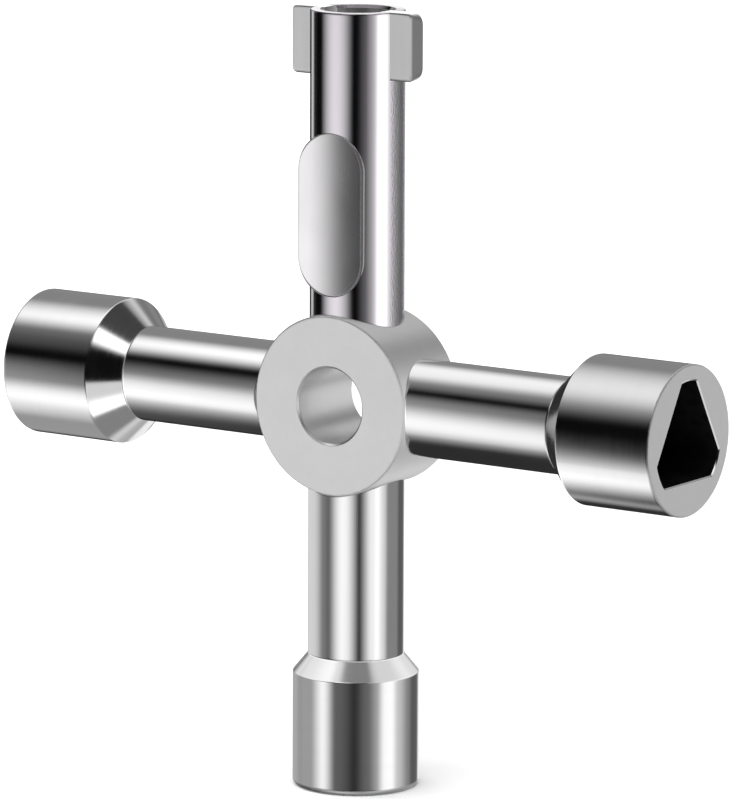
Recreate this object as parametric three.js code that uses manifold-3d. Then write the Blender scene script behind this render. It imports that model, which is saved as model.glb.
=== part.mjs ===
// A four-way radiator bleed key: a hub ring with four round arms, three that end in socket heads and one
// that ends in a double bit. Lengths are in millimetres. The origin is the centre of the hub's bore.
// The bore runs along Y, the triangle arm points along +X and the double-bit arm along +Z.
// The front, where the thumb pad is, faces -Y.

import * as THREE from "three";
import { mergeVertices } from "three/addons/utils/BufferGeometryUtils.js";
import Module from "manifold-3d";

const wasm = await Module();
wasm.setup();

// Driving dimensions.
const UPRIGHT_ARM = 36; // from the hub's centre to the tips of the top and bottom arms
const SIDE_ARM = 35.8; // from the hub's centre to the tips of the left and right arms
const JOINT_GAP = 0.3; // left between pieces that are pressed or brazed together
const CUT_MARGIN = 1; // how far a cutting tool runs past the face that it cuts
const EDGE_BREAK = 0.2; // chamfer on the turned edges

const HUB_RADIUS = 8.3;
const HUB_WIDTH = 8.8;
const HUB_BORE_RADIUS = 3.5;

const STEM_RADIUS = 4.45; // of the three arms that carry heads
const BIT_STEM_RADIUS = 4.35; // of the double-bit arm
const HUB_SPIGOT_RADIUS = 2.6;
const HUB_SPIGOT_START = 5; // radius in the hub where the spigots end
const HEAD_SPIGOT_RADIUS = 3;
const HEAD_SPIGOT_LENGTH = 3;
const SPIGOT_ROOT_OVERLAP = 2; // how far a spigot is carried into its stem

const SOCKET_WEB = 1.1; // metal between a head's back bore and its socket
const SIDE_HEAD = { start: 23.6, cone: 2.5, end: SIDE_ARM, radius: 6.85, edge: EDGE_BREAK };
const BOTTOM_HEAD = { start: 23.7, cone: 1.7, end: UPRIGHT_ARM, radius: 5.85, edge: 0.45 };

const TRIANGLE_APOTHEM = 3.7;
const TRIANGLE_CORNER_RADIUS = 5.4; // the circle round the socket's axis that cuts off its corners
const WIDE_SQUARE = 8.1; // across flats, for an 8 mm spindle
const WIDE_SQUARE_FILLET = 0.5;
const NARROW_SQUARE = 6.1; // across flats, for a 6 mm spindle
const NARROW_SQUARE_FILLET = 0.4;

const BIT_BORE_RADIUS = 3.2;
const BIT_BORE_DEPTH = 9.5;
const WING_TIP = 6.6; // from the arm's axis to the end of each wing
const WING_THICKNESS = 2;
const WING_HEIGHT = 6.2;
const WING_FILLET = 0.6;

const PAD_WIDTH = 7;
const PAD_LENGTH = 15;
const PAD_START = 10.05; // from the hub's centre to the pad's near end
const PAD_FRONT = BIT_STEM_RADIUS + 0.1; // from the arm's axis to the pad's rim
const PAD_THICKNESS = 1.25;
const PAD_RIM = 0.3; // thickness of the pad at its edge
const PAD_TAPER = 0.55; // how far the pad's back draws in from its outline
const PAD_DISH_RADIUS = 21; // the hollow across the pad's front

const HUB_SEGMENTS = 96;
const HEAD_SEGMENTS = 72;
const STEM_SEGMENTS = 60;
const SPIGOT_SEGMENTS = 32;
const ARC_SEGMENTS = 6; // in a small fillet
const PAD_END_SEGMENTS = 10; // in each quarter of the pad's round ends
const DISH_SEGMENTS = 180;

const PLATED_STEEL = { color: 0xb9b9bb, roughness: 0.24, metalness: 1 };
const BRIGHT_STEEL = { color: 0xc9c7cc, roughness: 0.16, metalness: 1 };
const SATIN_STEEL = { color: 0xc4c4c4, roughness: 0.42, metalness: 1 };

// A closed geometry as a solid that can be cut and joined.
function toSolid(geometry) {
  const bare = geometry.clone();
  bare.deleteAttribute("normal");
  bare.deleteAttribute("uv");
  const merged = mergeVertices(bare);
  return new wasm.Manifold(
    new wasm.Mesh({
      numProp: 3,
      vertProperties: merged.attributes.position.array,
      triVerts: Uint32Array.from(merged.index.array),
    }),
  );
}

// A solid as a geometry with its normals.
function toGeometry(solid) {
  const { vertProperties, triVerts } = solid.getMesh();
  const geometry = new THREE.BufferGeometry();
  geometry.setAttribute("position", new THREE.BufferAttribute(vertProperties, 3));
  geometry.setIndex(new THREE.BufferAttribute(triVerts, 1));
  geometry.computeVertexNormals();
  return geometry;
}

function namedMesh(name, solid, look) {
  const mesh = new THREE.Mesh(toGeometry(solid), new THREE.MeshStandardMaterial(look));
  mesh.name = name;
  return mesh;
}

// A profile of [radius, height] points turned round the Y axis.
function turned(profile, segments) {
  const points = profile.map(([radius, height]) => new THREE.Vector2(radius, height));
  return toSolid(new THREE.LatheGeometry(points, segments));
}

// A plain round bar on the Y axis.
function bar(radius, from, to, segments) {
  const geometry = new THREE.CylinderGeometry(radius, radius, to - from, segments);
  geometry.translate(0, (from + to) / 2, 0);
  return toSolid(geometry);
}

// A prism of the given outline, drawn across the Y axis, that runs along it.
function prismAlongArm(shape, from, to, curveSegments) {
  const options = { depth: to - from, bevelEnabled: false, curveSegments };
  const geometry = new THREE.ExtrudeGeometry(shape, options);
  geometry.rotateX(-Math.PI / 2);
  geometry.translate(0, from, 0);
  return toSolid(geometry);
}

// A rectangle round a centre, with its corners rounded.
function roundedRectangle(width, height, fillet, centreX = 0, centreY = 0) {
  const right = centreX + width / 2;
  const left = centreX - width / 2;
  const top = centreY + height / 2;
  const bottom = centreY - height / 2;
  const shape = new THREE.Shape();
  shape.moveTo(right, bottom + fillet);
  shape.absarc(right - fillet, top - fillet, fillet, 0, Math.PI / 2);
  shape.absarc(left + fillet, top - fillet, fillet, Math.PI / 2, Math.PI);
  shape.absarc(left + fillet, bottom + fillet, fillet, Math.PI, 1.5 * Math.PI);
  shape.absarc(right - fillet, bottom + fillet, fillet, 1.5 * Math.PI, 2 * Math.PI);
  return shape;
}

// An equilateral triangle whose corners are cut off by a circle, one of them towards -X.
function roundCorneredTriangle(apothem, cornerRadius) {
  const halfCorner = Math.PI / 3 - Math.acos(apothem / cornerRadius);
  const shape = new THREE.Shape();
  for (const degrees of [60, 180, 300]) {
    const middle = THREE.MathUtils.degToRad(degrees);
    shape.absarc(0, 0, cornerRadius, middle - halfCorner, middle + halfCorner);
  }
  return shape;
}

// The space that the hub takes out of an arm. An arm stands on +Y here, and the hub's axis is Z.
function hubClearance() {
  const geometry = new THREE.CylinderGeometry(
    HUB_RADIUS + JOINT_GAP,
    HUB_RADIUS + JOINT_GAP,
    HUB_WIDTH + 2 * CUT_MARGIN,
    HUB_SEGMENTS,
  );
  geometry.rotateX(Math.PI / 2);
  return toSolid(geometry);
}

// A stem's full-width bar, hollowed at its root to sit on the hub, with the spigot that goes into the hub.
function stemRoot(tip, radius) {
  const edge = tip - EDGE_BREAK;
  const body = turned(
    [
      [0, HUB_SPIGOT_START],
      [radius, HUB_SPIGOT_START],
      [radius, edge],
      [radius - EDGE_BREAK, tip],
      [0, tip],
    ],
    STEM_SEGMENTS,
  );
  const spigotTop = HUB_RADIUS + SPIGOT_ROOT_OVERLAP;
  const spigot = bar(HUB_SPIGOT_RADIUS, HUB_SPIGOT_START, spigotTop, SPIGOT_SEGMENTS);
  return body.subtract(hubClearance()).add(spigot);
}

// A stem that carries a socket head: a second spigot stands on its outer end.
function socketStem(head) {
  const shoulder = head.start - JOINT_GAP;
  const spigot = bar(
    HEAD_SPIGOT_RADIUS,
    shoulder - SPIGOT_ROOT_OVERLAP,
    head.start + HEAD_SPIGOT_LENGTH,
    SPIGOT_SEGMENTS,
  );
  return stemRoot(shoulder, STEM_RADIUS).add(spigot);
}

// A turned head: a cone that grows from the stem, a round body, a blind bore for the stem's spigot
// and a blind socket of the given outline in its end.
function socketHead(head, socketShape) {
  const blank = turned(
    [
      [0, head.start],
      [STEM_RADIUS, head.start],
      [head.radius, head.start + head.cone],
      [head.radius, head.end - head.edge],
      [head.radius - head.edge, head.end],
      [0, head.end],
    ],
    HEAD_SEGMENTS,
  );
  const boreEnd = head.start + HEAD_SPIGOT_LENGTH + JOINT_GAP;
  const backBore = bar(
    HEAD_SPIGOT_RADIUS + JOINT_GAP,
    head.start - CUT_MARGIN,
    boreEnd,
    SPIGOT_SEGMENTS,
  );
  const socket = prismAlongArm(
    socketShape,
    boreEnd + SOCKET_WEB,
    head.end + CUT_MARGIN,
    ARC_SEGMENTS,
  );
  return blank.subtract(backBore).subtract(socket);
}

// The hub ring on its own axis, Y, with a blind hole for each arm's spigot.
function hub() {
  const face = HUB_WIDTH / 2;
  const ring = turned(
    [
      [HUB_BORE_RADIUS, EDGE_BREAK - face],
      [HUB_BORE_RADIUS + EDGE_BREAK, -face],
      [HUB_RADIUS - EDGE_BREAK, -face],
      [HUB_RADIUS, EDGE_BREAK - face],
      [HUB_RADIUS, face - EDGE_BREAK],
      [HUB_RADIUS - EDGE_BREAK, face],
      [HUB_BORE_RADIUS + EDGE_BREAK, face],
      [HUB_BORE_RADIUS, face - EDGE_BREAK],
      [HUB_BORE_RADIUS, EDGE_BREAK - face],
    ],
    HUB_SEGMENTS,
  );
  const holeRadius = HUB_SPIGOT_RADIUS + JOINT_GAP;
  const holeStart = HUB_SPIGOT_START - JOINT_GAP;
  const hole = bar(holeRadius, holeStart, HUB_RADIUS + CUT_MARGIN, SPIGOT_SEGMENTS);
  return [0, 90, 180, 270].reduce(
    (body, degrees) => body.subtract(hole.rotate([0, 0, degrees]).rotate([90, 0, 0])),
    ring,
  );
}

// The pad's outline with its long side along the arm, grown by a margin all round.
function padOutline(margin) {
  const width = PAD_WIDTH + 2 * margin;
  const length = PAD_LENGTH + 2 * margin;
  return roundedRectangle(width, length, width / 2, 0, PAD_START + PAD_LENGTH / 2);
}

// The pad's shape, grown by a margin: its back draws in, and its front runs on past the rim.
function padBlank(margin) {
  const geometry = new THREE.ExtrudeGeometry(padOutline(margin), {
    depth: PAD_THICKNESS,
    bevelEnabled: true,
    bevelThickness: PAD_THICKNESS - PAD_RIM,
    bevelSize: PAD_TAPER,
    bevelOffset: -PAD_TAPER,
    bevelSegments: 1,
    curveSegments: PAD_END_SEGMENTS,
  });
  geometry.translate(0, 0, PAD_FRONT - PAD_RIM - margin);
  return toSolid(geometry);
}

// The pad faces +Z. A wide round cut hollows its front.
function thumbPad() {
  const inFront = new THREE.BoxGeometry(2 * PAD_WIDTH, 2 * PAD_LENGTH, 2 * PAD_THICKNESS);
  inFront.translate(0, PAD_START + PAD_LENGTH / 2, PAD_FRONT + PAD_THICKNESS);
  const halfWidth = PAD_WIDTH / 2;
  const dishAxis = PAD_FRONT + Math.sqrt(PAD_DISH_RADIUS ** 2 - halfWidth ** 2);
  const dish = bar(PAD_DISH_RADIUS, 0, UPRIGHT_ARM, DISH_SEGMENTS).translate([0, 0, dishAxis]);
  return padBlank(0).subtract(toSolid(inFront)).subtract(dish);
}

// A bit wing on the +X side of the arm, its inner end flush with the stem's bore.
function bitWing() {
  const width = 2 * WING_TIP;
  const outline = roundedRectangle(
    width,
    WING_HEIGHT,
    WING_FILLET,
    0,
    UPRIGHT_ARM - WING_HEIGHT / 2,
  );
  const options = { depth: WING_THICKNESS, bevelEnabled: false, curveSegments: ARC_SEGMENTS };
  const plate = new THREE.ExtrudeGeometry(outline, options);
  plate.translate(0, 0, -WING_THICKNESS / 2);
  const otherHalf = new THREE.BoxGeometry(width, UPRIGHT_ARM, width);
  otherHalf.translate(-width / 2, UPRIGHT_ARM, 0);
  const bore = bar(BIT_BORE_RADIUS, 0, UPRIGHT_ARM + CUT_MARGIN, STEM_SEGMENTS);
  return toSolid(plate).subtract(toSolid(otherHalf)).subtract(bore);
}

// The double-bit arm's stem: its bore, a slot through both walls for the wings, and the pad's seat.
function topStem() {
  const boreStart = UPRIGHT_ARM - BIT_BORE_DEPTH;
  const bore = bar(BIT_BORE_RADIUS, boreStart, UPRIGHT_ARM + CUT_MARGIN, STEM_SEGMENTS);
  const slotStart = UPRIGHT_ARM - WING_HEIGHT - JOINT_GAP;
  const slotHeight = UPRIGHT_ARM + CUT_MARGIN - slotStart;
  const slotWidth = WING_THICKNESS + 2 * JOINT_GAP;
  const slot = new THREE.BoxGeometry(2 * WING_TIP, slotHeight, slotWidth);
  slot.translate(0, slotStart + slotHeight / 2, 0);
  const body = stemRoot(UPRIGHT_ARM, BIT_STEM_RADIUS);
  return body.subtract(bore).subtract(toSolid(slot)).subtract(padBlank(JOINT_GAP));
}

// An arm's frame: its length runs along local Y, and local Z is the key's front for every arm.
function arm(degreesFromTop, meshes) {
  const upright = new THREE.Group();
  upright.rotation.x = Math.PI / 2;
  upright.add(...meshes);
  const placed = new THREE.Group();
  placed.rotation.y = THREE.MathUtils.degToRad(degreesFromTop);
  placed.add(upright);
  return placed;
}

const wing = bitWing();
const topArm = arm(0, [
  namedMesh("top_stem", topStem(), BRIGHT_STEEL),
  namedMesh("bit_wing_right", wing, SATIN_STEEL),
  namedMesh("bit_wing_left", wing.rotate([0, 180, 0]), SATIN_STEEL),
  namedMesh("thumb_pad", thumbPad(), SATIN_STEEL),
]);

const triangle = roundCorneredTriangle(TRIANGLE_APOTHEM, TRIANGLE_CORNER_RADIUS);
const rightArm = arm(90, [
  namedMesh("right_stem", socketStem(SIDE_HEAD), BRIGHT_STEEL),
  namedMesh("right_socket_head", socketHead(SIDE_HEAD, triangle), PLATED_STEEL),
]);

const narrowSquare = roundedRectangle(NARROW_SQUARE, NARROW_SQUARE, NARROW_SQUARE_FILLET);
const bottomArm = arm(180, [
  namedMesh("bottom_stem", socketStem(BOTTOM_HEAD), BRIGHT_STEEL),
  namedMesh("bottom_socket_head", socketHead(BOTTOM_HEAD, narrowSquare), PLATED_STEEL),
]);

const wideSquare = roundedRectangle(WIDE_SQUARE, WIDE_SQUARE, WIDE_SQUARE_FILLET);
const leftArm = arm(270, [
  namedMesh("left_stem", socketStem(SIDE_HEAD), BRIGHT_STEEL),
  namedMesh("left_socket_head", socketHead(SIDE_HEAD, wideSquare), PLATED_STEEL),
]);

const key = new THREE.Group();
key.add(namedMesh("hub", hub(), SATIN_STEEL), topArm, rightArm, bottomArm, leftArm);

export default key;
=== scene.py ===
import math
from functools import partial

import bmesh
import bpy
import numpy as np
from mathutils import Matrix, Vector


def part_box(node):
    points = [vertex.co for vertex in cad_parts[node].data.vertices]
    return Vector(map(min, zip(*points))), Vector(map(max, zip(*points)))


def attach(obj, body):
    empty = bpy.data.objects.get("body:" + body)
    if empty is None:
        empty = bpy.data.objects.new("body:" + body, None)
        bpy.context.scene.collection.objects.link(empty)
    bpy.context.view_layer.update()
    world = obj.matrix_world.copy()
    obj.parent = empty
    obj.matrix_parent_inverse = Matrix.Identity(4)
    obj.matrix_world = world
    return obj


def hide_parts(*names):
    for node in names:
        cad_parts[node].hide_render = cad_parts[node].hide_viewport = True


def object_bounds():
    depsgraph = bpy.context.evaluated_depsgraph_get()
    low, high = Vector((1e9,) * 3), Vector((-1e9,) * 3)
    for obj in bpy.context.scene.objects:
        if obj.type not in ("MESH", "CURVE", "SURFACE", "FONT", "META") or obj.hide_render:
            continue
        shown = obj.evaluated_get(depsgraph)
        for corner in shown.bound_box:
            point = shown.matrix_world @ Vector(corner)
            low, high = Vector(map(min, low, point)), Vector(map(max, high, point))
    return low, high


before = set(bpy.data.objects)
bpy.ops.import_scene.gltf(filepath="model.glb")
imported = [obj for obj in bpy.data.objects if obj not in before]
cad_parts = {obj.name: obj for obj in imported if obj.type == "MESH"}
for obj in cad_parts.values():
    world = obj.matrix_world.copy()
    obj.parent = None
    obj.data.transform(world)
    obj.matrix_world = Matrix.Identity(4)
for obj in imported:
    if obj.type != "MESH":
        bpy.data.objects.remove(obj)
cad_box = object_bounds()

# The finished look of a four-way bleed key. Each piece of the frame is replaced by a finely made one in
# the same place. Lengths are in metres; the frame's origin is the centre of the hub's bore.

MM = 0.001
FIT = 0.02 * MM  # left between two pieces that are pressed or brazed together
FRONT = Vector((0, -1, 0))
TOP = Vector((0, 0, 1))
RIGHT = Vector((1, 0, 0))
BOTTOM = -TOP
LEFT = -RIGHT

# Sizes read from the frame.
HUB_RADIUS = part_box("hub")[1].x
HUB_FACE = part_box("hub")[1].y
STEM_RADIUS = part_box("left_stem")[1].y
BIT_STEM_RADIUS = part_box("top_stem")[1].y
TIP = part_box("top_stem")[1].z
SPIGOT_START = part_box("top_stem")[0].z
WING_LOW, WING_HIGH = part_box("bit_wing_right")
PAD_LOW, PAD_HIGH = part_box("thumb_pad")

# Details inside those boxes.
HUB_BORE = 3.5 * MM
HUB_BORE_CHAMFER = 0.2 * MM
HUB_SPIGOT = 2.6 * MM
HEAD_SPIGOT = 3 * MM
HEAD_SPIGOT_LENGTH = 3 * MM
SIDE_CONE = 2.5 * MM
BOTTOM_CONE = 1.7 * MM
BIT_BORE = 3.2 * MM
BIT_BORE_MOUTH = 3.45 * MM
BIT_BORE_DEPTH = 9.5 * MM
DRILL_POINT = 0.8 * MM
SOCKET_FLOOR = 4.4 * MM  # from a head's back to the floor of its socket
SOCKET_CHAMFER = 0.12 * MM
TRIANGLE_APOTHEM = 3.7 * MM
TRIANGLE_CORNER = 5.4 * MM  # the circle that cuts off the triangle's corners
WIDE_SQUARE = 8.1 * MM
NARROW_SQUARE = 6.1 * MM
SQUARE_FILLET = 0.45 * MM
PAD_RIM = 0.3 * MM
PAD_TAPER = 0.55 * MM
PAD_DISH = 0.29 * MM
PAD_EDGE = 0.06 * MM
PAD_MIDDLE = 0.05 * MM  # half width of the flat sliver where the pad's loops meet

# Rounded edges.
HUB_EDGE = 0.16 * MM
HUB_BORE_EDGE = 0.04 * MM
SPIGOT_EDGE = 0.2 * MM
SADDLE_EDGE = 0.07 * MM
SHOULDER_EDGE = 0.08 * MM
TIP_EDGE = 0.12 * MM
BIT_BORE_MOUTH_DEPTH = 0.3 * MM
BIT_BORE_EDGE = 0.05 * MM
BIT_BORE_FLOOR_EDGE = 0.2 * MM
HEAD_BACK_EDGE = 0.06 * MM
CONE_EDGE = 0.12 * MM
SIDE_HEAD_EDGE = 0.14 * MM
BOTTOM_HEAD_EDGE = 0.45 * MM
SOCKET_EDGE = 0.03 * MM
SOCKET_FLOOR_EDGE = 0.15 * MM
WING_OUTER_EDGE = 0.09 * MM
WING_TOP_EDGE = 0.12 * MM
WING_BOTTOM_EDGE = 0.3 * MM
WING_BACK_EDGE = 0.3 * MM
WING_FRONT_CORNER = 0.35 * MM
WING_BACK_CORNER = 1.1 * MM
WING_RUBBED = 0.1 * MM  # how far the rubbed metal reaches in from a wing's faces

# Mesh fineness.
TURNS = 288  # points round a turned piece
ARC_STEPS = 5  # in a rounded edge
SADDLE_STEPS = 6
PAD_END_POINTS = 49  # round each end of the pad
PAD_SIDE_POINTS = 25  # down each side of the pad
PAD_LOOPS = 30
WING_CORNER_POINTS = 9
WING_LEVELS = ((0, 0.35, 8), (0.5, 1.6, 8), (1.65, 2, 8))  # from, to in millimetres, and how many
HOLD = 0.12 * MM  # length of the narrow strip that keeps a flat face flat beside a rounded edge
CORNER_NUDGE = 0.004  # radians on each side of a socket's corner
SHARP_ANGLE = math.radians(26)


# ---- Mesh helpers ----


def unit(vectors):
    """Vectors of length one, for an array whose first axis holds the components."""
    return vectors / np.linalg.norm(vectors, axis=0)


def arm_frame(along):
    """An arm's own axes: X across it, Y along it and Z to the key's front."""
    side = along.cross(FRONT)
    return Matrix((side, along, FRONT)).transposed().to_4x4()


def reach(node, along):
    """Where a node starts and ends along an arm, and its radius."""
    low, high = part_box(node)
    start, end = sorted((low.dot(along), high.dot(along)))
    return start, end, high.y


def add_piece(name, points, faces, placing, wear=None, surfaces=None):
    """A mesh object from its points and faces, with smooth shading between its real edges."""
    mesh = bpy.data.meshes.new(name)
    mesh.from_pydata([tuple(point) for point in points], [], faces)
    if surfaces is not None:
        mesh.polygons.foreach_set("material_index", surfaces)
    worn = mesh.attributes.new("wear", "FLOAT", "POINT")
    worn.data.foreach_set("value", np.zeros(len(points)) if wear is None else wear)
    piece = bpy.data.objects.new(name, mesh)
    bpy.context.scene.collection.objects.link(piece)
    piece.matrix_world = placing
    close_up(mesh)
    return piece


def close_up(mesh):
    """Faces the surface outwards and marks its real edges."""
    working = bmesh.new()
    working.from_mesh(mesh)
    bmesh.ops.recalc_face_normals(working, faces=working.faces)
    working.to_mesh(mesh)
    working.free()
    mesh.shade_smooth()
    mesh.set_sharp_from_angle(angle=SHARP_ANGLE)


def soften(corners, count, closed):
    """Rings (place, wear, surface) through a profile's corners, each rounded by its own fillet.

    A corner is (radius, height, fillet, surface). Its radius and height may change with the angle, and
    the surface is the number of the material that runs on from it."""
    even = np.ones(count)
    places = [np.array([radius * even, height * even]) for radius, height, _, _ in corners]
    rings = []
    for index, (_, _, fillet, surface) in enumerate(corners):
        place = places[index]
        if fillet == 0 or (not closed and index in (0, len(corners) - 1)):
            rings.append((place, 0.0, surface))
            continue
        to_last = places[index - 1] - place
        to_next = places[(index + 1) % len(places)] - place
        back, ahead = unit(to_last), unit(to_next)
        half = np.arccos(np.clip((back * ahead).sum(axis=0), -1, 1)) / 2
        run = fillet / np.tan(half)
        centre = place + unit(back + ahead) * fillet / np.sin(half)
        start, end = place + back * run - centre, place + ahead * run - centre
        turn = math.pi - 2 * half
        hold_back = np.minimum(HOLD, np.linalg.norm(to_last, axis=0) / 4)
        hold_ahead = np.minimum(HOLD, np.linalg.norm(to_next, axis=0) / 4)
        rings.append((place + back * (run + hold_back), 0.0, corners[index - 1][3]))
        for step in range(ARC_STEPS + 1):
            share = step / ARC_STEPS
            spoke = start * np.sin((1 - share) * turn) + end * np.sin(share * turn)
            rings.append((centre + spoke / np.sin(turn), 1.0, surface))
        rings.append((place + ahead * (run + hold_ahead), 0.0, surface))
    return rings


def ring_piece(name, corners, placing, angles=None, closed=False):
    """A piece made of rings round its own Y axis. A ring of no radius is a single point."""
    if angles is None:
        angles = np.linspace(0, 2 * math.pi, TURNS, endpoint=False)
    count = len(angles)
    rings = soften(corners, count, closed)
    points, wear, loops = [], [], []
    for (radius, height), worn, _ in rings:
        first = len(points)
        if radius.max() < FIT / 10:
            points.append((0, height[0], 0))
            loops.append([first] * count)
        else:
            points.extend(np.column_stack([radius * np.cos(angles), height, radius * np.sin(angles)]))
            loops.append(list(range(first, first + count)))
        wear.extend([worn] * (len(points) - first))
    faces, surfaces = [], []
    pairs = list(zip(loops, loops[1:] + loops[:1], rings))
    for near, far, (_, _, surface) in pairs if closed else pairs[:-1]:
        for turn in range(count):
            following = (turn + 1) % count
            corner_points = [near[turn], near[following], far[following], far[turn]]
            faces.append(tuple(dict.fromkeys(corner_points)))
            surfaces.append(surface)
    return add_piece(name, points, faces, placing, wear, surfaces)


def loft_piece(name, loops, placing, wear=None, wall_levels=0):
    """A piece skinned over a stack of closed loops with the same number of points, capped at both ends.

    The first wall_levels bands between loops get the piece's second material."""
    count = len(loops[0])
    points = [point for loop in loops for point in loop]
    faces = [tuple(range(count)), tuple(range(len(points) - count, len(points)))]
    for level in range(len(loops) - 1):
        for turn in range(count):
            near = level * count + turn
            following = level * count + (turn + 1) % count
            faces.append((near, following, following + count, near + count))
    worn = None if wear is None else np.repeat(wear, count)
    surfaces = [0, 0] + [1 if face < wall_levels * count else 0 for face in range(len(faces) - 2)]
    return add_piece(name, points, faces, placing, worn, surfaces)


def cut_away(piece, tools):
    """Cuts the tools' shapes out of a piece and throws the tools away."""
    for tool in tools:
        cut = piece.modifiers.new("cut", "BOOLEAN")
        cut.operation = "DIFFERENCE"
        cut.solver = "EXACT"
        cut.object = tool
    bpy.context.view_layer.update()
    shaped = bpy.data.meshes.new_from_object(piece.evaluated_get(bpy.context.evaluated_depsgraph_get()))
    piece.modifiers.clear()
    piece.data = shaped
    for tool in tools:
        bpy.data.objects.remove(tool)
    close_up(shaped)


# ---- Outlines ----


def polygon_radius(angles, sides, apothem, fillet, first_corner):
    """Distance from the middle to the edge of a regular polygon with rounded corners."""
    pitch = 2 * math.pi / sides
    off_corner = np.abs((angles - first_corner + pitch / 2) % pitch - pitch / 2)
    corner_middle = (apothem - fillet) / math.cos(pitch / 2)
    reach_across = np.clip(fillet**2 - (corner_middle * np.sin(off_corner)) ** 2, 0, None)
    rounded = corner_middle * np.cos(off_corner) + np.sqrt(reach_across)
    straight = apothem / np.cos(pitch / 2 - off_corner)
    arc_end = math.atan2(fillet * math.sin(pitch / 2), corner_middle + fillet * math.cos(pitch / 2))
    return np.where(off_corner < arc_end, rounded, straight)


def triangle_radius(angles, grow):
    """Edge of the triangular socket, whose corners are cut off by a circle. One corner is towards -X."""
    straight = polygon_radius(angles, 3, TRIANGLE_APOTHEM + grow, FIT, math.pi)
    return np.minimum(straight, TRIANGLE_CORNER + grow)


def square_radius(width):
    def radius(angles, grow):
        return polygon_radius(angles, 4, width / 2 + grow, SQUARE_FILLET + grow, math.pi / 4)

    return radius


def stadium(width, length, middle, grow, height):
    """A loop with straight sides and round ends, its length along Y, at the given height or heights."""
    half_width = width / 2 + grow
    straight = (length - width) / 2
    end = np.linspace(0, math.pi, PAD_END_POINTS)
    side = np.linspace(straight, -straight, PAD_SIDE_POINTS)[1:-1]
    upper = np.column_stack([half_width * np.cos(end), middle + straight + half_width * np.sin(end)])
    left = np.column_stack([np.full(len(side), -half_width), middle + side])
    flat = np.concatenate([upper, left])
    turned_half = np.column_stack([-flat[:, 0], 2 * middle - flat[:, 1]])
    outline = np.concatenate([flat, turned_half])
    heights = height(outline[:, 0]) if callable(height) else np.full(len(outline), height)
    return np.column_stack([outline, heights])


# ---- Pieces ----


def turned_hub():
    """The ring, its edges broken and its bore's mouths chamfered, with a blind hole for each spigot."""
    chamfer_end = HUB_FACE - HUB_BORE_CHAMFER
    mouth = HUB_BORE + HUB_BORE_CHAMFER
    corners = [
        (HUB_BORE, -chamfer_end, HUB_BORE_EDGE, 1),
        (mouth, -HUB_FACE, HUB_BORE_EDGE, 0),
        (HUB_RADIUS, -HUB_FACE, HUB_EDGE, 0),
        (HUB_RADIUS, HUB_FACE, HUB_EDGE, 0),
        (mouth, HUB_FACE, HUB_BORE_EDGE, 1),
        (HUB_BORE, chamfer_end, HUB_BORE_EDGE, 1),
    ]
    ring = ring_piece("hub_finished", corners, Matrix(), closed=True)
    holes = []
    for along in (TOP, RIGHT, BOTTOM, LEFT):
        radius = HUB_SPIGOT + FIT
        start, end = SPIGOT_START - FIT, HUB_RADIUS + MM
        drill = [(0, start, 0, 0), (radius, start, 0, 0), (radius, end, 0, 0), (0, end, 0, 0)]
        holes.append(ring_piece("drill", drill, arm_frame(along)))
    cut_away(ring, holes)
    return ring


def stem_root(angles, stem_radius):
    """Corners of the spigot that goes into the hub and of the saddle that sits on the hub's rim."""
    corners = [(0, SPIGOT_START, 0, 0), (HUB_SPIGOT, SPIGOT_START, SPIGOT_EDGE, 0)]
    for radius in np.linspace(HUB_SPIGOT, stem_radius, SADDLE_STEPS):
        saddle = np.sqrt((HUB_RADIUS + FIT) ** 2 - (radius * np.cos(angles)) ** 2)
        corners.append((radius, saddle, SADDLE_EDGE if radius == stem_radius else 0, 0))
    return corners


def even_angles():
    return np.linspace(0, 2 * math.pi, TURNS, endpoint=False)


def socket_stem(node, head_node, along):
    """A plain round arm with a spigot at both ends."""
    head_start, _, _ = reach(head_node, along)
    shoulder = head_start - FIT
    spigot_end = head_start + HEAD_SPIGOT_LENGTH
    corners = stem_root(even_angles(), STEM_RADIUS) + [
        (STEM_RADIUS, shoulder, SHOULDER_EDGE, 0),
        (HEAD_SPIGOT, shoulder, 0, 0),
        (HEAD_SPIGOT, spigot_end, SPIGOT_EDGE, 0),
        (0, spigot_end, 0, 0),
    ]
    return ring_piece(node + "_finished", corners, arm_frame(along))


def socket_head(node, along, cone, edge, outline, corner_angles):
    """A turned head with a conical back, a bore for its stem's spigot and a socket in its end."""
    start, end, radius = reach(node, along)
    nudges = (-CORNER_NUDGE, 0, CORNER_NUDGE)
    near_corners = [angle + nudge for angle in corner_angles for nudge in nudges]
    angles = np.unique(np.concatenate([even_angles(), np.mod(near_corners, 2 * math.pi)]))
    bore = HEAD_SPIGOT + FIT
    bore_end = start + HEAD_SPIGOT_LENGTH + FIT
    floor = start + SOCKET_FLOOR
    mouth = outline(angles, SOCKET_CHAMFER)
    wall = outline(angles, 0)
    corners = [
        (0, bore_end, 0, 0),
        (bore, bore_end, 0, 0),
        (bore, start, 0, 0),
        (STEM_RADIUS, start, HEAD_BACK_EDGE, 0),
        (radius, start + cone, CONE_EDGE, 0),
        (radius, end, edge, 1),
        (mouth, end, SOCKET_EDGE, 0),
        (wall, end - SOCKET_CHAMFER, SOCKET_EDGE, 2),
        (wall, floor, SOCKET_FLOOR_EDGE, 2),
        (0, floor, 0, 2),
    ]
    return ring_piece(node + "_finished", corners, arm_frame(along), angles)


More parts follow.
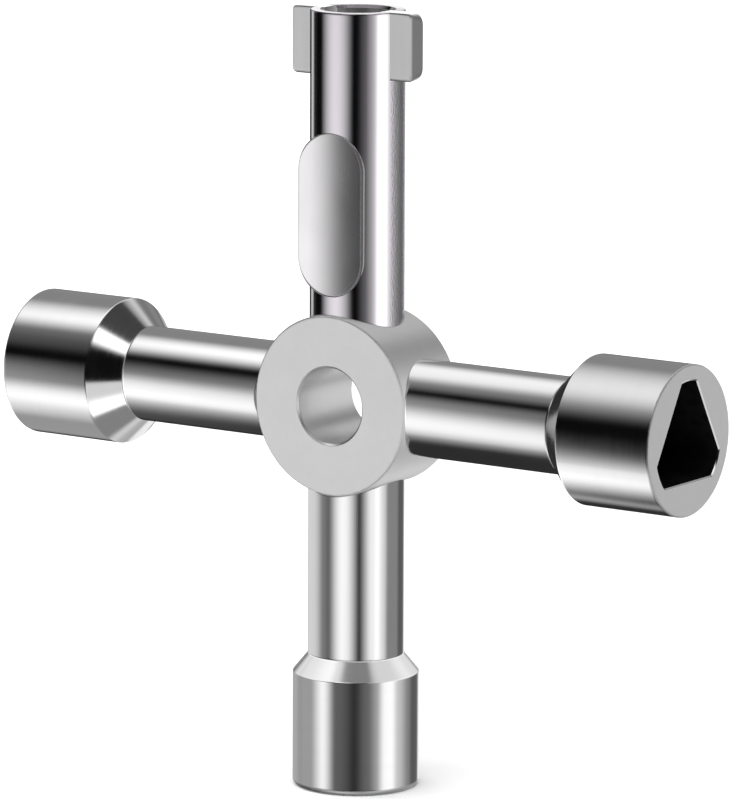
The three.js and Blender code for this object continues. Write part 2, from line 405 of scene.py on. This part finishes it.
def pad_loops(grow):
    """Loops of the pad's back and side, from its drawn-in back up to its rim."""
    width, length = PAD_HIGH.x - PAD_LOW.x, PAD_HIGH.z - PAD_LOW.z
    middle = (PAD_HIGH.z + PAD_LOW.z) / 2
    front = -PAD_LOW.y
    back = -PAD_HIGH.y - grow
    return [
        stadium(width, length, middle, grow - PAD_TAPER, back),
        stadium(width, length, middle, grow, front - PAD_RIM - grow),
        stadium(width, length, middle, grow, front - PAD_EDGE),
    ]


def dish(across, drop=0.0):
    """Height of the pad's hollow front at places across it, less a drop near the rim."""
    width = PAD_HIGH.x - PAD_LOW.x
    return -PAD_LOW.y - PAD_DISH * (1 - (2 * across / width) ** 2) - drop


def thumb_pad():
    """The pad: thin at its rim, with a broken edge and a shallow hollow across its front."""
    width, length = PAD_HIGH.x - PAD_LOW.x, PAD_HIGH.z - PAD_LOW.z
    middle = (PAD_HIGH.z + PAD_LOW.z) / 2
    loops = pad_loops(0)
    wear = [0.0, 0.5, 1.0]
    for step in range(1, ARC_STEPS + 1):
        lean = math.pi / 2 * step / ARC_STEPS
        drawn_in = PAD_EDGE * (1 - math.cos(lean))
        drop = PAD_EDGE * (1 - math.sin(lean))
        loops.append(stadium(width, length, middle, -drawn_in, partial(dish, drop=drop)))
        wear.append(1.0)
    for drawn_in in np.linspace(PAD_EDGE + HOLD, width / 2 - PAD_MIDDLE, PAD_LOOPS):
        loops.append(stadium(width, length, middle, -drawn_in, dish))
        wear.append(0.0)
    # The wall and the broken edge get the darker second material: painted shade.
    return loft_piece("thumb_pad_finished", loops, arm_frame(TOP), wear, wall_levels=2 + ARC_STEPS)


def shrink(loop):
    """The same loop drawn in a little towards its middle, to keep the flat face inside it flat."""
    points = np.array(loop)
    middle = (points.max(axis=0) + points.min(axis=0)) / 2
    half = (points.max(axis=0) - points.min(axis=0)) / 2
    factor = (half - HOLD) / np.where(half > 0, half, 1)
    return [tuple(point) for point in middle + (points - middle) * np.where(half > 0, factor, 1)]


def edge_inset(radius, distance):
    """How far a rounded edge has drawn in at a distance from the face that it runs into."""
    left_over = max(radius - distance, 0)
    return radius - math.sqrt(radius**2 - left_over**2)


def corner_arc(across, along, fillet, start):
    """Points of a quarter circle round a corner's centre, from a start angle."""
    angles = np.linspace(start, start + math.pi / 2, WING_CORNER_POINTS)
    return [(across + fillet * math.cos(angle), along + fillet * math.sin(angle)) for angle in angles]


def wing_outline(depth):
    """The outline of a wing on the +X side, at a depth behind its front face."""
    thickness = WING_HIGH.y - WING_LOW.y
    back_inset = edge_inset(WING_BACK_EDGE, thickness - depth)
    outer = WING_HIGH.x - max(edge_inset(WING_OUTER_EDGE, depth), back_inset)
    top = WING_HIGH.z - max(edge_inset(WING_TOP_EDGE, depth), back_inset)
    bottom = WING_LOW.z + max(edge_inset(WING_BOTTOM_EDGE, depth), back_inset)
    fillet = WING_FRONT_CORNER + (WING_BACK_CORNER - WING_FRONT_CORNER) * depth / thickness
    inner = math.sqrt(BIT_BORE**2 - (thickness / 2 - depth) ** 2)
    low_corner = corner_arc(outer - fillet, bottom + fillet, fillet, -math.pi / 2)
    high_corner = corner_arc(outer - fillet, top - fillet, fillet, 0)
    return [(inner, bottom), *low_corner, *high_corner, (inner, top)]


def bit_wing(node, mirror):
    """A bit: a plate whose outer corners are nearly square in front and well rounded behind."""
    thickness = WING_HIGH.y - WING_LOW.y
    depths = np.concatenate([np.linspace(*level) for level in WING_LEVELS]) * MM
    loops, wear = [], []
    for depth in depths:
        height = thickness / 2 - depth
        loops.append([(mirror * across, along, height) for across, along in wing_outline(depth)])
        wear.append(1.0 if min(depth, thickness - depth) < WING_RUBBED else 0.0)
    loops = [shrink(loops[0]), *loops, shrink(loops[-1])]
    wear = [0.0, *wear, 0.0]
    return loft_piece(node + "_finished", loops, arm_frame(TOP), wear)


def top_stem():
    """The double bit's arm, bored at its tip, with a slot for the wings and a seat for the pad."""
    bore_floor = TIP - BIT_BORE_DEPTH
    corners = stem_root(even_angles(), BIT_STEM_RADIUS) + [
        (BIT_STEM_RADIUS, TIP, TIP_EDGE, 0),
        (BIT_BORE_MOUTH, TIP, BIT_BORE_EDGE, 0),
        (BIT_BORE, TIP - BIT_BORE_MOUTH_DEPTH, BIT_BORE_EDGE, 1),
        (BIT_BORE, bore_floor, BIT_BORE_FLOOR_EDGE, 1),
        (0, bore_floor - DRILL_POINT, 0, 1),
    ]
    stem = ring_piece("top_stem_finished", corners, arm_frame(TOP))
    half_slot = (WING_HIGH.y - WING_LOW.y) / 2 + FIT
    reach_out = 2 * BIT_STEM_RADIUS
    slot = [
        [
            (-reach_out, level, -half_slot),
            (reach_out, level, -half_slot),
            (reach_out, level, half_slot),
            (-reach_out, level, half_slot),
        ]
        for level in (WING_LOW.z - FIT, TIP + MM)
    ]
    seat = pad_loops(FIT)
    width, length = PAD_HIGH.x - PAD_LOW.x, PAD_HIGH.z - PAD_LOW.z
    seat.append(stadium(width, length, (PAD_HIGH.z + PAD_LOW.z) / 2, FIT, -PAD_LOW.y + MM))
    tools = [
        loft_piece("slot", slot, arm_frame(TOP)),
        loft_piece("seat", seat, arm_frame(TOP)),
    ]
    cut_away(stem, tools)
    return stem


# ---- Materials ----

# How a noise is stretched along a piece's axes.
LENGTHWISE = (1, 0.012, 1)
ROUND_ABOUT = (0.02, 1, 0.02)
DRAWN_OUT = (1, 0.35, 1)
ALL_WAYS = (1, 1, 1)

# How fine each noise is, in features to a millimetre.
LINES = 9
BROAD_LINES = 1.3
CLOUDS = 0.22
SPECKLES = 14
GRIT = 7
BLOTCHES = 0.9

# How much each one changes the plate's tone and its roughness.
CLOUD_TONE, LINE_TONE, RUBBED_TONE = 0.06, 0.04, 0.08
CLOUD_GLOSS, RUBBED_GLOSS, STRIP_GLOSS = 0.08, 0.06, 0.14
DARKEST_TONE = 0.95
GRIT_DEPTH = 9.0  # times the depth of a polishing line

# The gritty strips down the double-bit arm's sides, as places between its back and its front.
STRIP_BACK = (-2.6 * MM, -2.2 * MM)
STRIP_FRONT = (0.7 * MM, 0.95 * MM)


def feed(tree, value, socket):
    """Links a socket to a node's output, or sets its value."""
    if isinstance(value, bpy.types.NodeSocket):
        tree.links.new(value, socket)
    else:
        socket.default_value = value


def maths(tree, operation, *values):
    """A sum done by the material, as the output of its node."""
    node = tree.nodes.new("ShaderNodeMath")
    node.operation = operation
    for value, socket in zip(values, node.inputs):
        feed(tree, value, socket)
    return node.outputs[0]


def noise(tree, place, stretch, per_mm, detail=2.0):
    """Noise from 0 to 1 with per_mm features to a millimetre, stretched along each axis."""
    mapping = tree.nodes.new("ShaderNodeMapping")
    feed(tree, place, mapping.inputs["Vector"])
    mapping.inputs["Scale"].default_value = stretch
    texture = tree.nodes.new("ShaderNodeTexNoise")
    feed(tree, mapping.outputs[0], texture.inputs["Vector"])
    texture.inputs["Scale"].default_value = per_mm / MM
    texture.inputs["Detail"].default_value = detail
    return texture.outputs[0]


def ramp(tree, value, low, high, to_low=0.0, to_high=1.0):
    """Carries a value smoothly from one range to another."""
    node = tree.nodes.new("ShaderNodeMapRange")
    node.interpolation_type = "SMOOTHSTEP"
    for socket, amount in zip(node.inputs, (value, low, high, to_low, to_high)):
        feed(tree, amount, socket)
    return node.outputs[0]


def plated_metal(name, colour, roughness, lines, line_depth, grain=0.0, line_gloss=0.1, strips=False):
    """Nickel-plated steel. Fine lines run where polishing or turning left them, the plate is a little
    uneven in tone and gloss, and its edges are rubbed. Strips are gritty bands down the sides."""
    material = bpy.data.materials.new(name)
    material.use_nodes = True
    tree = material.node_tree
    shader = tree.nodes["Principled BSDF"]
    shader.inputs["Metallic"].default_value = 1.0
    place = tree.nodes.new("ShaderNodeTexCoord").outputs["Object"]
    fine = noise(tree, place, lines, LINES, 3)
    broad = noise(tree, place, lines, BROAD_LINES)
    cloud = noise(tree, place, ALL_WAYS, CLOUDS)
    speckle = noise(tree, place, ALL_WAYS, SPECKLES)
    worn = tree.nodes.new("ShaderNodeAttribute")
    worn.attribute_name = "wear"
    rubbed = maths(tree, "MULTIPLY", worn.outputs["Fac"], ramp(tree, cloud, 0.3, 0.6, 0.4, 1.0))

    tone = maths(tree, "MULTIPLY_ADD", cloud, CLOUD_TONE, DARKEST_TONE)
    tone = maths(tree, "MULTIPLY_ADD", broad, LINE_TONE, tone)
    tone = maths(tree, "MULTIPLY_ADD", rubbed, RUBBED_TONE, tone)
    tinted = tree.nodes.new("ShaderNodeVectorMath")
    tinted.operation = "SCALE"
    tinted.inputs[0].default_value = colour
    feed(tree, tone, tinted.inputs["Scale"])
    feed(tree, tinted.outputs[0], shader.inputs["Base Color"])

    gloss = maths(tree, "MULTIPLY_ADD", maths(tree, "SUBTRACT", fine, 0.5), line_gloss, roughness)
    gloss = maths(tree, "MULTIPLY_ADD", maths(tree, "SUBTRACT", cloud, 0.5), CLOUD_GLOSS, gloss)
    gloss = maths(tree, "MULTIPLY_ADD", rubbed, RUBBED_GLOSS, gloss)
    height = maths(tree, "MULTIPLY_ADD", speckle, grain, fine)
    if strips:
        axes = tree.nodes.new("ShaderNodeSeparateXYZ")
        feed(tree, place, axes.inputs[0])
        strip = maths(
            tree,
            "MULTIPLY",
            ramp(tree, axes.outputs["Z"], *STRIP_FRONT, 1.0, 0.0),
            ramp(tree, axes.outputs["Z"], *STRIP_BACK),
        )
        gloss = maths(tree, "MULTIPLY_ADD", strip, STRIP_GLOSS, gloss)
        grit = noise(tree, place, DRAWN_OUT, GRIT, 3)
        pitted = maths(tree, "SUBTRACT", ramp(tree, grit, 0.35, 0.65), 0.5)
        rough_grain = maths(tree, "MULTIPLY", strip, pitted)
        height = maths(tree, "MULTIPLY_ADD", rough_grain, GRIT_DEPTH, height)
    feed(tree, gloss, shader.inputs["Roughness"])
    bump = tree.nodes.new("ShaderNodeBump")
    bump.inputs["Strength"].default_value = 1.0
    bump.inputs["Distance"].default_value = line_depth
    feed(tree, height, bump.inputs["Height"])
    feed(tree, bump.outputs[0], shader.inputs["Normal"])
    return material


def painted_shade_steel(name, brightness, roughness, metallic, shine):
    """The unplated inside of a socket or a bore, its colour darkened as painted shade for the hollow."""
    material = bpy.data.materials.new(name)
    material.use_nodes = True
    tree = material.node_tree
    shader = tree.nodes["Principled BSDF"]
    shader.inputs["Metallic"].default_value = metallic
    shader.inputs["Specular IOR Level"].default_value = shine
    place = tree.nodes.new("ShaderNodeTexCoord").outputs["Object"]
    blotch = noise(tree, place, ALL_WAYS, BLOTCHES, 4)
    colour = tree.nodes.new("ShaderNodeCombineXYZ")
    for socket in colour.inputs:
        feed(tree, ramp(tree, blotch, 0.3, 0.7, 0.7 * brightness, 1.3 * brightness), socket)
    feed(tree, colour.outputs[0], shader.inputs["Base Color"])
    feed(tree, ramp(tree, blotch, 0.3, 0.7, roughness, roughness + 0.15), shader.inputs["Roughness"])
    bump = tree.nodes.new("ShaderNodeBump")
    bump.inputs["Distance"].default_value = 0.01 * MM
    feed(tree, blotch, bump.inputs["Height"])
    feed(tree, bump.outputs[0], shader.inputs["Normal"])
    return material


hub_plate = plated_metal("hub_plate", (0.77, 0.77, 0.77), 0.42, ALL_WAYS, 0.0015 * MM, grain=0.6)
hub_bore = plated_metal("hub_bore", (0.72, 0.72, 0.72), 0.36, ROUND_ABOUT, 0.001 * MM)
arm_plate = plated_metal("arm_plate", (0.80, 0.763, 0.81), 0.12, LENGTHWISE, 0.0009 * MM, strips=True)
# The bore's inside is painted dark grey: painted shade inside the bore.
bit_bore_painted_shade = painted_shade_steel("bit_bore_painted_shade", 0.25, 0.3, 0.4, 0.15)
bit_plate = plated_metal("bit_plate", (0.74, 0.74, 0.74), 0.4, LENGTHWISE, 0.001 * MM, grain=0.4)
pad_plate = plated_metal("pad_plate", (0.80, 0.785, 0.80), 0.26, LENGTHWISE, 0.00012 * MM, line_gloss=0.02)
# The pad's side wall and broken edge are painted darker: painted shade along the wall.
pad_wall_painted_shade = plated_metal("pad_wall_painted_shade", (0.34, 0.335, 0.34), 0.4, LENGTHWISE, 0.0005 * MM)
stem_plate = plated_metal("stem_plate", (0.80, 0.80, 0.80), 0.12, LENGTHWISE, 0.001 * MM)
head_plate = plated_metal("head_plate", (0.79, 0.79, 0.79), 0.12, ROUND_ABOUT, 0.0006 * MM)
head_end = plated_metal("head_end", (0.76, 0.76, 0.76), 0.42, ALL_WAYS, 0.001 * MM, grain=0.5)
# The sockets' insides are painted near black: painted shade in the hollows.
socket_painted_shade = painted_shade_steel("socket_painted_shade", 0.006, 0.8, 0.0, 0.0)


# ---- Assembly ----


def install(piece, node, materials):
    """Puts a finished piece in its frame node's place. Only the hub shows in the other pieces' gloss."""
    for material in materials:
        piece.data.materials.append(material)
    piece.visible_glossy = node == "hub"
    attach(piece, "root")
    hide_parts(node)


install(turned_hub(), "hub", [hub_plate, hub_bore])
install(top_stem(), "top_stem", [arm_plate, bit_bore_painted_shade])
install(bit_wing("bit_wing_right", 1), "bit_wing_right", [bit_plate])
install(bit_wing("bit_wing_left", -1), "bit_wing_left", [bit_plate])
install(thumb_pad(), "thumb_pad", [pad_plate, pad_wall_painted_shade])

triangle_half_corner = math.pi / 3 - math.acos(TRIANGLE_APOTHEM / TRIANGLE_CORNER)
triangle_corners = [
    middle + swing
    for middle in (math.pi / 3, math.pi, 5 * math.pi / 3)
    for swing in (-triangle_half_corner, triangle_half_corner)
]
square_corners = [math.pi / 4 + quarter * math.pi / 2 for quarter in range(4)]
arms = [
    ("right", RIGHT, SIDE_CONE, SIDE_HEAD_EDGE, triangle_radius, triangle_corners),
    ("left", LEFT, SIDE_CONE, SIDE_HEAD_EDGE, square_radius(WIDE_SQUARE), square_corners),
    ("bottom", BOTTOM, BOTTOM_CONE, BOTTOM_HEAD_EDGE, square_radius(NARROW_SQUARE), square_corners),
]
for side, along, cone, edge, outline, corner_angles in arms:
    stem_node, head_node = side + "_stem", side + "_socket_head"
    install(socket_stem(stem_node, head_node, along), stem_node, [stem_plate])
    head = socket_head(head_node, along, cone, edge, outline, corner_angles)
    install(head, head_node, [head_plate, head_end, socket_painted_shade])


# ---- Floor, studio and camera ----

# Azimuth 0 is -Y and 90 is +X. All the angles are in degrees.
BACKGROUND = 0.27
PANELS = {  # azimuth, elevation, half width, half height, softness of the edge, brightness
    "low_left_flag": (-118, -36, 42, 32, 12, 0.03),
    "front_flag": (-12, 8, 76, 40, 22, 0.003),
    "right_panel": (96, -12, 14, 24, 14, 0.8),
    "upper_right_panel": (76, 41, 12, 10, 6, 1.2),
    "low_right_panel": (75, -44, 16, 10, 8, 0.85),
    "upper_front_panel": (4, 52, 12, 9, 8, 1.1),
    "low_front_panel": (0, -50, 20, 12, 10, 1.1),
    "rear_panel": (-160, -22, 9, 20, 10, 1.0),
    "rear_flag": (168, -2, 15, 26, 14, 0.12),
    "left_flag": (-124, -6, 14, 14, 8, 0.03),
    "upper_rear_flag": (120, 52, 26, 10, 8, 0.06),
    "upper_rear_panel": (-172, 46, 16, 13, 12, 0.9),
    "overhead_panel": (180, 80, 14, 9, 8, 0.9),
}
SOFT_BOX_DISTANCE = 1.5
FLOOR_REACH = 3.0
FLOOR_DROP = 0.05 * MM
FLOOR_TONE = 0.9
OVERHEAD_STRENGTH = 4.2
OVERHEAD_SPREAD = math.radians(80)
OVERHEAD_TILT = (math.radians(12), math.radians(-8), 0)

# The camera looks at the target from an azimuth and an elevation.
CAMERA_AZIMUTH = math.radians(34.754)
CAMERA_ELEVATION = math.radians(10.2)
CAMERA_ROLL = math.radians(0.197)
CAMERA_DISTANCE = 560.2 * MM
CAMERA_TARGET = Vector((0.856 * MM, 0, 0.062 * MM))
CAMERA_LENS = 275.4
CAMERA_REACH = (10 * MM, 10)

SOFT_BOXES = [  # pieces lit, azimuth, elevation, half width, half height, softness (0 to 1), brightness
    ("hub", -42, -14, 40, 32, 0.88, 1.16),
    ("hub", 155, -4, 42, 35, 0.60, 0.65),
    ("hub", 176, -44, 21, 14, 0.71, 0.68),
    ("hub", 35, -5, 58, 30, 0.80, 1.00),
    ("hub", -107, -58, 24, 20, 0.80, 1.60),
    ("hub", -74, 54, 24, 16, 0.80, 1.60),
    ("top_stem", -20, -9, 45, 20, 1.00, 0.97),
    ("top_stem", 102, -9, 36, 20, 1.00, 0.96),
    ("top_stem", 67, -9, 35, 20, 1.00, 0.18),
    ("top_stem", -107, -9, 12, 20, 0.72, 0.60),
    ("top_stem", -148, 14, 14, 12, 0.80, 1.10),
    ("bit_wing_left", -46, -12, 39, 32, 0.81, 1.01),
    ("bit_wing_left", -148, 14, 26, 20, 0.80, 2.20),
    ("bit_wing_left", 30, -5, 50, 28, 0.80, 0.70),
    ("bit_wing_right", -46, -12, 39, 32, 0.81, 1.01),
    ("bit_wing_right", -148, 14, 26, 20, 0.80, 2.20),
    ("bit_wing_right", 30, -5, 50, 28, 0.80, 0.70),
    ("thumb_pad", -19, -12, 24, 24, 0.98, 1.60),
    ("thumb_pad", -54, -12, 23, 20, 0.76, 0.07),
    ("thumb_pad", 12, 0, 20, 28, 0.90, 1.20),
    ("thumb_pad", 62, -22, 16, 18, 0.80, 0.70),
    ("left_stem", -79, 60, 32, 23, 1.00, 1.23),
    ("left_stem", -76, -23, 53, 36, 0.90, 1.65),
    ("left_stem", -39, -5, 26, 38, 0.93, 0.26),
    ("left_socket_head", -107, 64, 35, 22, 0.75, 1.19),
    ("left_socket_head", -60, -37, 36, 22, 0.77, 1.08),
    ("left_socket_head", -47, -8, 13, 22, 0.91, 0.70),
    ("left_socket_head", -60, 33, 22, 17, 0.75, 0.11),
    ("left_socket_head", 78, 39, 19, 13, 0.31, 0.51),
    ("left_socket_head", 53, -34, 25, 24, 0.24, 0.79),
    ("left_socket_head", -113, -46, 34, 23, 0.60, 0.33),
    ("left_socket_head", 171, -54, 21, 15, 0.57, 0.48),
    ("left_socket_head", -105, -12, 30, 14, 0.80, 0.80),
    ("right_stem", -111, 49, 31, 25, 0.79, 0.85),
    ("right_stem", -34, -25, 39, 42, 1.00, 0.82),
    ("right_stem", -45, -3, 18, 39, 1.00, 1.22),
    ("right_socket_head", -73, 56, 46, 39, 1.00, 0.70),
    ("right_socket_head", -73, -45, 39, 21, 0.78, 1.14),
    ("right_socket_head", -44, -15, 13, 21, 0.76, 0.75),
    ("right_socket_head", 175, -10, 23, 25, 0.84, 1.10),
    ("right_socket_head", -79, -47, 23, 17, 0.90, 0.66),
    ("right_socket_head", 150, -8, 24, 24, 0.80, 0.45),
    ("right_socket_head", -112, -46, 22, 12, 0.80, 0.50),
    ("bottom_stem", 3, -12, 40, 20, 1.00, 1.23),
    ("bottom_stem", 72, -12, 32, 20, 1.00, 0.88),
    ("bottom_stem", -85, -12, 61, 20, 0.70, 0.23),
    ("bottom_stem", -100, -12, 48, 20, 0.78, 0.51),
    ("bottom_socket_head", -29, -12, 26, 20, 1.00, 1.17),
    ("bottom_socket_head", 105, -12, 40, 20, 0.88, 0.47),
    ("bottom_socket_head", -67, -12, 32, 20, 0.70, 0.40),
    ("bottom_socket_head", -116, -12, 34, 20, 0.70, 0.43),
    ("bottom_socket_head", -1, -12, 41, 20, 1.00, 0.14),
    ("bottom_socket_head", 60, -12, 31, 20, 0.93, 0.16),
    ("bottom_socket_head", -89, 46, 62, 45, 0.73, 0.98),
    ("bottom_socket_head", 155, 42, 62, 45, 0.55, 0.76),
]


def direction_to(azimuth, elevation):
    """The direction at an azimuth and an elevation in radians."""
    level = math.cos(elevation)
    return Vector((math.sin(azimuth) * level, -math.cos(azimuth) * level, math.sin(elevation)))


def panel_axes(azimuth, elevation):
    """The direction of a panel's middle, and its own right and up."""
    turn, lift = math.radians(azimuth), math.radians(elevation)
    middle = direction_to(turn, lift)
    right = Vector((math.cos(turn), math.sin(turn), 0))
    return middle, right, middle.cross(right)


def dot_product(tree, direction, axis):
    """The share of a direction that runs along an axis."""
    node = tree.nodes.new("ShaderNodeVectorMath")
    node.operation = "DOT_PRODUCT"
    feed(tree, direction, node.inputs[0])
    node.inputs[1].default_value = axis
    return node.outputs["Value"]


def panel_mask(tree, direction, panel):
    """1 where a direction meets the panel, falling smoothly to 0 across its soft edge."""
    azimuth, elevation, half_width, half_height, softness, _ = panel
    middle, right, up = panel_axes(azimuth, elevation)
    mask = 1.0
    for axis, half in ((right, half_width), (up, half_height)):
        distance = maths(tree, "ABSOLUTE", dot_product(tree, direction, axis))
        inner = math.sin(math.radians(max(half - softness / 2, 0)))
        outer = math.sin(math.radians(min(half + softness / 2, 90)))
        mask = maths(tree, "MULTIPLY", mask, ramp(tree, distance, inner, outer, 1.0, 0.0))
    in_front = maths(tree, "GREATER_THAN", dot_product(tree, direction, middle), 0.0)
    return maths(tree, "MULTIPLY", mask, in_front)


def light_studio():
    """A studio of soft panels and dark flags, seen only in reflections. The camera sees plain white."""
    world = bpy.data.worlds.new("studio")
    bpy.context.scene.world = world
    world.use_nodes = True
    tree = world.node_tree
    tree.nodes.clear()
    direction = tree.nodes.new("ShaderNodeTexCoord").outputs["Generated"]
    brightness = BACKGROUND
    for panel in PANELS.values():
        layer = tree.nodes.new("ShaderNodeMix")
        layer.data_type = "FLOAT"
        feed(tree, panel_mask(tree, direction, panel), layer.inputs[0])
        feed(tree, brightness, layer.inputs[2])
        feed(tree, panel[-1], layer.inputs[3])
        brightness = layer.outputs[0]
    reflected = tree.nodes.new("ShaderNodeBackground")
    feed(tree, brightness, reflected.inputs["Strength"])
    seen = tree.nodes.new("ShaderNodeBackground")
    seen.inputs["Strength"].default_value = 1.0
    for background in (reflected, seen):
        background.inputs["Color"].default_value = (1, 1, 1, 1)
    choice = tree.nodes.new("ShaderNodeMixShader")
    feed(tree, tree.nodes.new("ShaderNodeLightPath").outputs["Is Camera Ray"], choice.inputs[0])
    feed(tree, reflected.outputs[0], choice.inputs[1])
    feed(tree, seen.outputs[0], choice.inputs[2])
    output = tree.nodes.new("ShaderNodeOutputWorld")
    feed(tree, choice.outputs[0], output.inputs["Surface"])


def hang_soft_box(node, azimuth, elevation, half_width, half_height, softness, brightness):
    """A soft box turned to the key's middle, that fades out towards its edges and lights one piece."""
    middle, right, up = panel_axes(azimuth, elevation)
    box = bpy.data.lights.new(node + "_soft_box", "AREA")
    box.shape = "RECTANGLE"
    box.size = 2 * SOFT_BOX_DISTANCE * math.tan(math.radians(half_width))
    box.size_y = 2 * SOFT_BOX_DISTANCE * math.tan(math.radians(half_height))
    box.energy = math.pi * box.size * box.size_y  # a radiance of 1, which the shader then scales
    box.use_nodes = True
    tree = box.node_tree
    shares = tree.nodes.new("ShaderNodeSeparateXYZ")
    feed(tree, tree.nodes.new("ShaderNodeNewGeometry").outputs["Parametric"], shares.inputs[0])
    strength = brightness
    for axis in "XY":
        off_middle = maths(tree, "ABSOLUTE", maths(tree, "SUBTRACT", shares.outputs[axis], 0.5))
        fade = ramp(tree, off_middle, 0.5 - softness / 2, 0.5, 1.0, 0.0)
        strength = maths(tree, "MULTIPLY", strength, fade)
    feed(tree, strength, tree.nodes["Emission"].inputs["Strength"])
    lamp = bpy.data.objects.new(box.name, box)
    bpy.context.scene.collection.objects.link(lamp)
    pose = Matrix((right, up, middle)).transposed().to_4x4()
    pose.translation = middle * SOFT_BOX_DISTANCE
    lamp.matrix_world = pose
    lamp.visible_camera = False
    lamp.light_linking.receiver_collection = lit_collection(node)


def lit_collection(node):
    """The collection that holds just one finished piece."""
    name = "lit_" + node
    if name not in bpy.data.collections:
        bpy.data.collections.new(name).objects.link(bpy.data.objects[node + "_finished"])
    return bpy.data.collections[name]


def lay_floor():
    """A plain pale floor under the key's lower end, and a soft light over it that the metal doesn't show."""
    height = cad_box[0].z - FLOOR_DROP
    mesh = bpy.data.meshes.new("floor")
    signs = ((-1, -1), (1, -1), (1, 1), (-1, 1))
    corners = [(across * FLOOR_REACH, along * FLOOR_REACH, height) for across, along in signs]
    mesh.from_pydata(corners, [], [(0, 1, 2, 3)])
    floor = bpy.data.objects.new("floor", mesh)
    bpy.context.scene.collection.objects.link(floor)
    floor.visible_glossy = False
    floor.visible_shadow = False
    pale = bpy.data.materials.new("pale_floor")
    pale.use_nodes = True
    shader = pale.node_tree.nodes["Principled BSDF"]
    shader.inputs["Base Color"].default_value = (FLOOR_TONE, FLOOR_TONE, FLOOR_TONE, 1)
    shader.inputs["Roughness"].default_value = 0.9
    shader.inputs["Specular IOR Level"].default_value = 0.0
    mesh.materials.append(pale)
    light = bpy.data.lights.new("overhead", "SUN")
    light.energy = OVERHEAD_STRENGTH
    light.angle = OVERHEAD_SPREAD
    overhead = bpy.data.objects.new("overhead", light)
    overhead.rotation_euler = OVERHEAD_TILT
    overhead.visible_glossy = False
    bpy.context.scene.collection.objects.link(overhead)


def set_camera():
    """A long lens from the front right, a little above the key."""
    back = direction_to(CAMERA_AZIMUTH, CAMERA_ELEVATION)
    level_right = Vector((math.cos(CAMERA_AZIMUTH), math.sin(CAMERA_AZIMUTH), 0))
    level_up = back.cross(level_right)
    right = math.cos(CAMERA_ROLL) * level_right + math.sin(CAMERA_ROLL) * level_up
    up = math.cos(CAMERA_ROLL) * level_up - math.sin(CAMERA_ROLL) * level_right
    camera = bpy.data.objects.new("camera", bpy.data.cameras.new("camera"))
    bpy.context.scene.collection.objects.link(camera)
    camera.data.lens = CAMERA_LENS
    camera.data.clip_start, camera.data.clip_end = CAMERA_REACH
    pose = Matrix((right, up, back)).transposed().to_4x4()
    pose.translation = CAMERA_TARGET + back * CAMERA_DISTANCE
    camera.matrix_world = pose
    bpy.context.scene.camera = camera


light_studio()
for soft_box in SOFT_BOXES:
    hang_soft_box(*soft_box)
lay_floor()
set_camera()
bpy.context.scene.view_settings.view_transform = "Standard"
